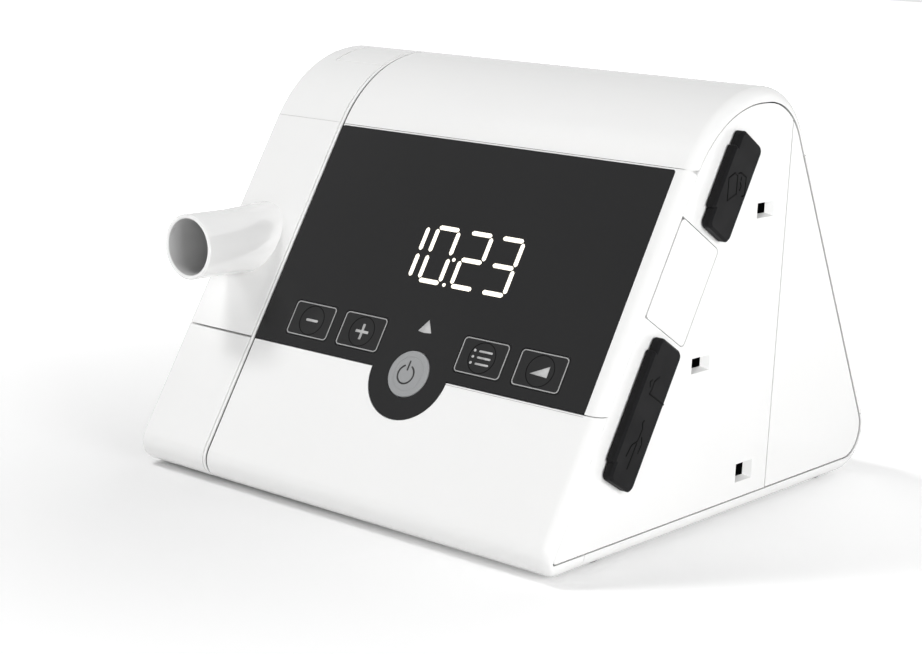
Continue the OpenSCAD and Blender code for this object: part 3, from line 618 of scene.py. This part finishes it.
def stroke(points, width, closed=False):
    """The outline loops of a line with round ends, or the two loops of a closed line."""
    n = len(points)
    sides = ([], [])
    for k in range(n):
        before = points[k - 1] if closed or k else None
        after = points[(k + 1) % n] if closed or k < n - 1 else None
        ways = []
        for p, q in ((before, points[k]), (points[k], after)):
            if p is not None and q is not None:
                d = math.hypot(q[0] - p[0], q[1] - p[1])
                ways.append(((q[0] - p[0]) / d, (q[1] - p[1]) / d))
        if len(ways) == 1:
            ways *= 2
        mx, my = -(ways[0][1] + ways[1][1]) / 2, (ways[0][0] + ways[1][0]) / 2
        size = max(mx * mx + my * my, 0.25)
        for side, sign in zip(sides, (1, -1)):
            side.append((points[k][0] + sign * width / 2 * mx / size,
                         points[k][1] + sign * width / 2 * my / size))
    if closed:
        return sides
    first = math.atan2(points[1][1] - points[0][1], points[1][0] - points[0][0])
    last = math.atan2(points[-1][1] - points[-2][1], points[-1][0] - points[-2][0])
    half = QUARTER
    tail = arc(points[-1], width / 2, last + half, last - half, CAP_STEPS)[1:-1]
    head = arc(points[0], width / 2, first - half, first - 3 * half, CAP_STEPS)[1:-1]
    return (sides[0] + tail + sides[1][::-1] + head,)


def thin_shapes(name, shapes, low, high, place, body, material, slot):
    """One piece from many thin shapes. A shape is one outline loop, or two loops of
    equal length for a ring, standing between two heights."""
    verts, faces = [], []
    for shape in shapes:
        start = len(verts)
        n = len(shape[0])
        for loop in shape:
            for height in (low, high):
                verts += [place(p[0], p[1], height) for p in loop]
        edges = [(i, (i + 1) % n) for i in range(n)]
        for k in range(len(shape)):
            base = start + 2 * k * n
            faces += [(base + i, base + j, base + n + j, base + n + i) for i, j in edges]
        if len(shape) == 1:
            faces.append(tuple(start + i for i in range(n))[::-1])
            faces.append(tuple(start + n + i for i in range(n)))
        else:
            for base in (start, start + n):
                faces += [(base + i, base + j, base + 2 * n + j, base + 2 * n + i)
                          for i, j in edges]
    return put(name, verts, faces, body, material, slot)


def segment(a, b, width):
    """A lit segment: a bar with pointed, slightly rounded ends."""
    d = math.hypot(b[0] - a[0], b[1] - a[1])
    ux, uy = (b[0] - a[0]) / d, (b[1] - a[1]) / d
    h = width / 2
    tip = ((0.85 * h, 0.25 * h), (0.6 * h, 0.55 * h))
    start = [(-u, v) for u, v in tip] + [(0, h)]
    stop = [(d, h)] + [(d + u, v) for u, v in tip[::-1]]
    shape = start + stop + [(u, -v) for u, v in stop[::-1]] + [(u, -v) for u, v in start[::-1]]
    return ([(a[0] + u * ux - v * uy, a[1] + u * uy + v * ux) for u, v in shape],)


DIGIT_W = 8.4
DIGIT_LOW, DIGIT_MID, DIGIT_HIGH = 82.3, 91.2, 100.25
SEGMENT_W = 1.5
UPRIGHT_END, LEVEL_END = 1.3, 0.9
COLON_R = 0.62
DIGITS = ((-94.8, "bc"), (-82.45, "abcdef"), (-69.4, "abged"), (-57.1, "abgcd"))
COLON = ((-72.0, 90.6), (-72.0, 82.1))


def digit(left, lit):
    """The lit segments of one digit."""
    right = left + DIGIT_W
    e, f = UPRIGHT_END, LEVEL_END
    ends = {
        "a": ((left + f, DIGIT_HIGH), (right - f, DIGIT_HIGH)),
        "b": ((right, DIGIT_HIGH - e), (right, DIGIT_MID + e)),
        "c": ((right, DIGIT_MID - e), (right, DIGIT_LOW + e)),
        "d": ((left + f, DIGIT_LOW), (right - f, DIGIT_LOW)),
        "e": ((left, DIGIT_MID - e), (left, DIGIT_LOW + e)),
        "f": ((left, DIGIT_HIGH - e), (left, DIGIT_MID + e)),
        "g": ((left + f, DIGIT_MID), (right - f, DIGIT_MID)),
    }
    return [segment(*ends[k], SEGMENT_W) for k in lit]


shapes = [s for left, lit in DIGITS for s in digit(left, lit)]
shapes += [(circle(c, COLON_R, 20),) for c in COLON]
thin_shapes("clock_digits", shapes, -0.02, 0.03, on_front, "housing", LIT, "screen")

LIFT = (-0.02, 0.05)
FRAME_IN = 0.35
FRAME_R = 1.2
FRAME_W = 0.35
for name, x in KEYS.items():
    a = (x - KEY_W / 2 + FRAME_IN, KEY_S - KEY_H / 2 + FRAME_IN)
    b = (x + KEY_W / 2 - FRAME_IN, KEY_S + KEY_H / 2 - FRAME_IN)
    thin_shapes(name + "_frame", [stroke(round_rect(a, b, FRAME_R), FRAME_W, closed=True)], *LIFT,
           on_front, name + "_key", LINE, "key_dark")

DISH_R, DISH_DEPTH = 54.25, 0.25
# Radius and width of the painted shade ring at the edge of each key's dish.
DISH_SHADE_R, DISH_SHADE_W = 5.0, 0.22


def in_dish(x0):
    """Sets a point down on the dished key face."""
    def place(x, s, n):
        off = (x - x0) ** 2 + (s - KEY_S) ** 2
        rim = DISH_R - DISH_DEPTH
        fall = math.sqrt(DISH_R ** 2 - off) - rim if off < DISH_R ** 2 - rim ** 2 else 0
        return on_front(x, s, n - fall)
    return place


# Painted shade: a black ring at the edge of each key's dished face, where the dish's edge reads
# dark.
for name, x in KEYS.items():
    shade_rings = [circle((x, KEY_S), r) for r in (DISH_SHADE_R, DISH_SHADE_R - DISH_SHADE_W)]
    thin_shapes(name + "_dish_shade", [shade_rings], -0.03, 0.012, on_front, name + "_key", DARK_ICON_AND_SHADE, "key_dark")

# Icons by their distances from the middle of the key
plus = [(0.45, 0.45), (0.45, 2.6), (-0.45, 2.6), (-0.45, 0.45), (-2.6, 0.45), (-2.6, -0.45),
        (-0.45, -0.45), (-0.45, -2.6), (0.45, -2.6), (0.45, -0.45), (2.6, -0.45), (2.6, 0.45)]
bars = []
for s in (-2.0, 0.0, 2.0):
    bars.append((circle((-3.5, s), 0.45, 16),))
    bars.append(stroke([(-1.6, s), (2.9, s)], 0.65))
ICONS = {
    "minus": [stroke([(-2.1, 0), (2.1, 0)], 0.85)],
    "plus": [(plus,)],
    "menu": bars,
    "ramp": [([(-3.4, -1.3), (2.9, -1.6), (2.8, 1.9)],)],
}
for name, icon in ICONS.items():
    x = KEYS[name]
    shapes = [[[(x + u, KEY_S + v) for u, v in loop] for loop in shape] for shape in icon]
    thin_shapes(name + "_icon", shapes, *LIFT, in_dish(x), name + "_key", SYMBOL, "key_dark")
level_mark = [(-74.8, 66.2), (-72.3, 65.9), (-69.6, 66.2), (-72.1, 70.2)]
thin_shapes("level_mark", [(level_mark,)], *LIFT, on_front, "housing", SYMBOL, "glass_dark")

POWER_TOP = 0.3
POWER_RING = (5.6, 5.35)
ICON_AT = (POWER[0] - 0.8, POWER[1] - 0.4)
ICON_R, ICON_W = 3.0, 0.55
ICON_OPEN = math.radians(28)
icon_arc = arc(ICON_AT, ICON_R, QUARTER + ICON_OPEN, QUARTER - ICON_OPEN + 2 * math.pi, 40)
icon_bar = [(ICON_AT[0], ICON_AT[1] + s) for s in (1.5, 4.3)]
thin_shapes("power_icon", [stroke(line, ICON_W) for line in (icon_arc, icon_bar)],
       POWER_TOP + LIFT[0], POWER_TOP + LIFT[1], on_front, "power_key", DARK, "power_grey")
thin_shapes("power_ring", [[circle(POWER, r) for r in POWER_RING]],
       POWER_TOP - 0.02, POWER_TOP + 0.03, on_front, "power_key", POWER_GREY, "power_grey")
dressed("key_power", "power_key", POWER_GREY, "power_grey", 0.25)
for name in KEYS:
    dressed("key_" + name, name + "_key", KEY, "key_dark", 0.08)


# ---------------------------------------------------------------------------
# Rubber covers with raised icons
# ---------------------------------------------------------------------------
def on_side(s, n, x):
    """A point of the right end by its distances up and behind the slope and its x."""
    return on_front(x, s, -n)


for node, body in (("card_cover", "card_flap"), ("port_cover", "port_flap")):
    dressed(node, body, RUBBER, "rubber", 0.35)
RAISED = (COVER_T - 0.1, COVER_T + 0.04)
COVER_LINE_W = 0.5
card_lines = [
    [(132.9, 19.9), (129.2, 16.6), (135.0, 13.4), (137.7, 15.4), (137.8, 17.3), (132.9, 19.9)],
    [(138.5, 17.4), (139.2, 18.4), (139.5, 21.9), (134.4, 24.4), (133.7, 23.2)],
    [(138.2, 19.6), (137.4, 19.8)],
    [(136.6, 19.9), (136.0, 21.0), (134.6, 20.9)],
]
thin_shapes("card_icon", [stroke(line, COVER_LINE_W) for line in card_lines], *RAISED,
       on_side, "card_flap", DARK_ICON_AND_SHADE, "rubber")
port_lines = [
    [(71.9, 15.4), (69.9, 13.7), (67.6, 13.8), (66.0, 13.4), (65.9, 22.2)],
    [(69.9, 12.4), (69.0, 11.7), (67.9, 12.5)],
    [(58.5, 15.8), (57.5, 15.3), (56.1, 16.4), (52.2, 16.1), (50.2, 14.0), (46.6, 13.2)],
    [(51.4, 16.1), (43.6, 15.9)],
    [(53.8, 17.5), (52.0, 18.6), (49.3, 18.4)],
]
thin_shapes("port_icon", [stroke(line, COVER_LINE_W) for line in port_lines], *RAISED,
       on_side, "port_flap", DARK_ICON_AND_SHADE, "rubber")


# ---------------------------------------------------------------------------
# Outlet tube: a cone with a rounded lip, turned round its own axis
# ---------------------------------------------------------------------------
TUBE_X, TUBE_Z = -156.8, 73.7
TUBE_R, TUBE_ROOT_R, TUBE_BORE_R, TUBE_COLLAR_R = 10.7, 11.6, 9.2, 12.0
TUBE_MOUTH_Y, TUBE_CONE_Y, TUBE_ROOT_Y, TUBE_COLLAR_Y, TUBE_INNER_Y = 13.4, 31.0, 46.0, 53.6, 58.0
LIP_INNER_R, LIP_OUTER_R = 0.6, 0.5
TUBE_STEPS = 96
tube_path = [(TUBE_BORE_R, TUBE_INNER_Y), (TUBE_BORE_R, TUBE_MOUTH_Y + LIP_INNER_R)]
tube_path += [(TUBE_BORE_R + LIP_INNER_R * (1 - math.cos(a)),
               TUBE_MOUTH_Y + LIP_INNER_R * (1 - math.sin(a))) for a in (0.5, 1.0, QUARTER)]
tube_path += [(TUBE_R - LIP_OUTER_R + LIP_OUTER_R * math.sin(a),
               TUBE_MOUTH_Y + LIP_OUTER_R * (1 - math.cos(a))) for a in (0, 0.5, 1.0, QUARTER)]
tube_path += [(TUBE_R, TUBE_CONE_Y), (TUBE_ROOT_R, TUBE_ROOT_Y), (TUBE_ROOT_R, TUBE_COLLAR_Y),
              (TUBE_COLLAR_R, TUBE_COLLAR_Y), (TUBE_COLLAR_R, TUBE_INNER_Y)]
round_tube = [2 * math.pi * k / TUBE_STEPS for k in range(TUBE_STEPS)]
loops = [[row(TUBE_X + r * math.cos(a), y, TUBE_Z + r * math.sin(a)) for a in round_tube]
         for r, y in tube_path]
verts, faces = loft(loops, caps=False)
last = (len(loops) - 1) * TUBE_STEPS
for i in range(TUBE_STEPS):
    j = (i + 1) % TUBE_STEPS
    faces.append((last + i, last + j, j, i))
tube = put("hose_cone", verts, faces, "outlet_module", TUBE_WHITE, "shell", ("outlet_tube",))
# The bore's faces take the grey painted shade.
tube.data.materials.append(BORE_SHADE)
middle = row(TUBE_X, 0, TUBE_Z)
for face in tube.data.polygons:
    corners = (tube.data.vertices[k].co for k in face.vertices)
    off = max(math.hypot(v.x - middle.x, v.z - middle.z) for v in corners)
    face.material_index = 1 if off < (TUBE_BORE_R + 0.1) * MM else 0
shade = tube.modifiers.new("shade", "WEIGHTED_NORMAL")
shade.keep_sharp = True


# ---------------------------------------------------------------------------
# Floor, light and camera
# ---------------------------------------------------------------------------
WORLD_LIGHT = 0.08
FLOOR_COLOUR = (0.86, 0.86, 0.86)
FLOOR_SIZE = 8
# Painted light on the floor: a glow seen by camera, gloss and glass rays, weak near FLOOR_MIDDLE
# and strong further out, so the floor reads darker round the object.
FLOOR_MIDDLE = (-0.05, -0.07, 0)
FLOOR_REACH = (0.03, 0.6)
FLOOR_PAINTED_GLOW = (0.04, 0.98)

# Each lamp's place in metres, its width and height, and its power
LAMP_AIM = Vector((0, 0, 0.06))
LAMPS = {
    "left_light": ((-1.06, -0.86, 0.68), (0.4, 0.4), 3.6),
    "high_left_light": ((-0.75, -0.45, 1.2), (0.32, 0.32), 8.4),
    "front_light": ((-0.1, -1.4, 0.3), (1.0, 0.4), 1.6),
    "front_right_light": ((0.5, -0.65, 0.22), (0.45, 0.35), 1.55),
    "right_light": ((1.3, -0.2, 0.4), (0.9, 0.7), 12.4),
    "top_light": ((0.0, 0.35, 1.3), (1.1, 1.1), 2.0),
    "back_light": ((-0.5, 1.5, 0.6), (1.2, 0.9), 8.0),
}

# The photograph's viewpoint, fitted on the edges of the object
CAMERA_TURN = math.radians(39.35)
CAMERA_DROP = math.radians(11.95)
CAMERA_ROLL = math.radians(2.33)
CAMERA_OFFSET = (14.95, 6.92, 619.0)
CAMERA_AIM = (-60, 60, 50)
CAMERA_REACH = (0.05, 20)
PHOTO_W = 922
FOCAL_PX = 1982.5
SENSOR = 36.0


def shown_white(tree, lit, shown):
    """A shader that is shown to camera, gloss and glass rays, and is lit for all others."""
    paths = tree.nodes.new("ShaderNodeLightPath")
    seen = paths.outputs["Is Camera Ray"]
    for other in ("Is Glossy Ray", "Is Transmission Ray"):
        widest = tree.nodes.new("ShaderNodeMath")
        widest.operation = "MAXIMUM"
        tree.links.new(seen, widest.inputs[0])
        tree.links.new(paths.outputs[other], widest.inputs[1])
        seen = widest.outputs["Value"]
    mix = tree.nodes.new("ShaderNodeMixShader")
    tree.links.new(seen, mix.inputs["Fac"])
    tree.links.new(lit, mix.inputs[1])
    tree.links.new(shown, mix.inputs[2])
    return mix.outputs["Shader"]


def studio():
    """The pale floor, with a painted glow that grows away from the object, and the white world
    round it.
    """
    bpy.ops.mesh.primitive_plane_add(size=FLOOR_SIZE)
    floor = bpy.context.object
    floor.name = "studio_floor"
    made, tree, shader = material("studio_floor", FLOOR_COLOUR, 0.9)
    place = tree.nodes.new("ShaderNodeTexCoord")
    reach = tree.nodes.new("ShaderNodeVectorMath")
    reach.operation = "DISTANCE"
    reach.inputs[1].default_value = FLOOR_MIDDLE
    tree.links.new(place.outputs["Object"], reach.inputs[0])
    # Painted light: the floor's glow grows with the distance from FLOOR_MIDDLE.
    lift = tree.nodes.new("ShaderNodeMapRange")
    for socket, value in zip(lift.inputs[1:5], FLOOR_REACH + FLOOR_PAINTED_GLOW):
        socket.default_value = value
    tree.links.new(reach.outputs["Value"], lift.inputs["Value"])
    glow = tree.nodes.new("ShaderNodeEmission")
    tree.links.new(lift.outputs["Result"], glow.inputs["Strength"])
    lifted = tree.nodes.new("ShaderNodeAddShader")
    tree.links.new(shader.outputs["BSDF"], lifted.inputs[0])
    tree.links.new(glow.outputs["Emission"], lifted.inputs[1])
    mixed = shown_white(tree, shader.outputs["BSDF"], lifted.outputs["Shader"])
    tree.links.new(mixed, tree.nodes["Material Output"].inputs["Surface"])
    floor.data.materials.append(made)

    world = bpy.data.worlds.new("studio_world")
    bpy.context.scene.world = world
    world.use_nodes = True
    tree = world.node_tree
    back = tree.nodes["Background"]
    back.inputs["Color"].default_value = (1, 1, 1, 1)
    back.inputs["Strength"].default_value = WORLD_LIGHT
    white = tree.nodes.new("ShaderNodeBackground")
    white.inputs["Strength"].default_value = 1.0
    mixed = shown_white(tree, back.outputs["Background"], white.outputs["Background"])
    tree.links.new(mixed, tree.nodes["World Output"].inputs["Surface"])


def area(name, place, size, power):
    """A rectangular lamp that faces the object."""
    lamp = bpy.data.lights.new(name, "AREA")
    lamp.shape = "RECTANGLE"
    lamp.size, lamp.size_y = size
    lamp.energy = power
    light = bpy.data.objects.new(name, lamp)
    bpy.context.scene.collection.objects.link(light)
    light.location = place
    light.visible_glossy = False
    light.rotation_euler = (LAMP_AIM - Vector(place)).to_track_quat("-Z", "Y").to_euler()


def camera():
    """The photograph's viewpoint: turned, dropped and rolled round an aim point."""
    ca, sa = math.cos(CAMERA_TURN), math.sin(CAMERA_TURN)
    ce, se = math.cos(CAMERA_DROP), math.sin(CAMERA_DROP)
    right = Vector((ca, sa, 0))
    ahead = Vector((-sa * ce, ca * ce, -se))
    down = -right.cross(ahead)
    cr, sr = math.cos(CAMERA_ROLL), math.sin(CAMERA_ROLL)
    right, down = cr * right - sr * down, sr * right + cr * down
    tx, ty, dist = CAMERA_OFFSET
    at = row(*CAMERA_AIM) - (tx * right + ty * down + dist * ahead) * MM
    lens = bpy.data.cameras.new("photo_camera")
    lens.sensor_width = SENSOR
    lens.lens = FOCAL_PX * SENSOR / PHOTO_W
    lens.clip_start, lens.clip_end = CAMERA_REACH
    view = bpy.data.objects.new("photo_camera", lens)
    bpy.context.scene.collection.objects.link(view)
    turn = Matrix((right, -down, -ahead)).transposed()
    view.matrix_world = Matrix.Translation(at) @ turn.to_4x4()
    bpy.context.scene.camera = view


studio()
for lamp_name, (place, size, power) in LAMPS.items():
    area(lamp_name, place, size, power)
camera()
bpy.context.scene.view_settings.view_transform = "Standard"
